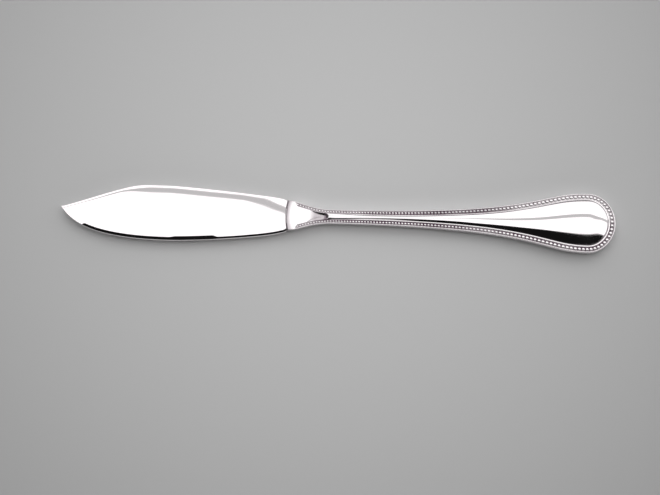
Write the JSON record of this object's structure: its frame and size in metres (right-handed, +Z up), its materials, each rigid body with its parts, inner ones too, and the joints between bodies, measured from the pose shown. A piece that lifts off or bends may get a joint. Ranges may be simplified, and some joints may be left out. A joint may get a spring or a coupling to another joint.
{
  "type": "butter knife",
  "caption": "Butter knife with a clipped, pointed blade and a slim hollow handle that swells to a round butt, edged with a graduated bead border and a raised thread.",
  "frame": {"origin": "on the surface that the knife lies on, under the middle of its length and on the handle's axis", "axes": "+X from the blade's tip to the handle's butt, +Y toward the blade's spine, +Z up out of the front face"},
  "size_m": [0.17, 0.0184, 0.0044],
  "materials": {
    "blade_silver": "polished",
    "handle_silver": "polished",
    "solder": "satin",
    "cement": "matte"
  },
  "bodies": {
    "root": {"blade": "blade_silver", "handle_front_shell": "handle_silver", "handle_back_shell": "handle_silver", "handle_filler": "cement", "seam_solder": "solder"}
  },
  "joints": []
}
